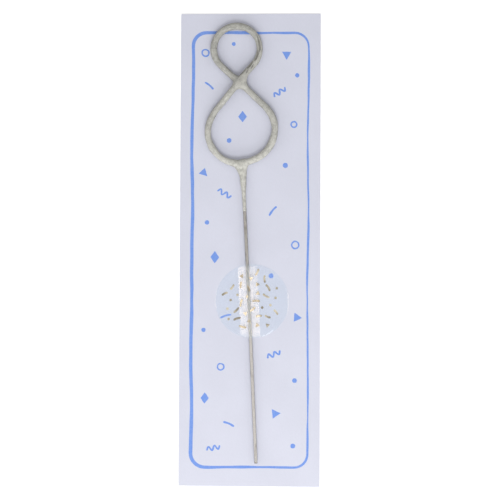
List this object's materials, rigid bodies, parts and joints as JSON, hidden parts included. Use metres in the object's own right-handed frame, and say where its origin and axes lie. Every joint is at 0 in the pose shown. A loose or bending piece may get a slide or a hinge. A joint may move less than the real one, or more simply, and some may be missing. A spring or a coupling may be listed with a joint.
{
  "type": "wire sparkler on backing card",
  "caption": "Hand-held wire sparkler bent into a figure eight, dipped in grey spark composition, held on a printed pale lilac backing card by a round clear seal.",
  "frame": {"origin": "centre of the card's back face, on the surface the card lies on", "axes": "+Z out of the card's printed face, +Y to the card's top edge where the loops are, +X to the right of the printed face"},
  "size_m": [0.0566, 0.191, 0.0049],
  "materials": {
    "card_board": "uncoated pale lilac card with a cornflower-blue print",
    "seal_film": "clear pale-blue glossy film",
    "steel_wire": "drawn bare steel, slightly dulled",
    "spark_coat": "matt granular grey composition"
  },
  "bodies": {
    "card": {"backing_card": "card_board", "seal": "seal_film"},
    "sparkler": {"wire": "steel_wire", "coating": "spark_coat"}
  },
  "joints": [
    {"name": "pull_out", "type": "slide", "parent": "card", "child": "sparkler", "axis": [-0.0476, 0.9989, 0], "range_m": [0, 0.0795]}
  ]
}
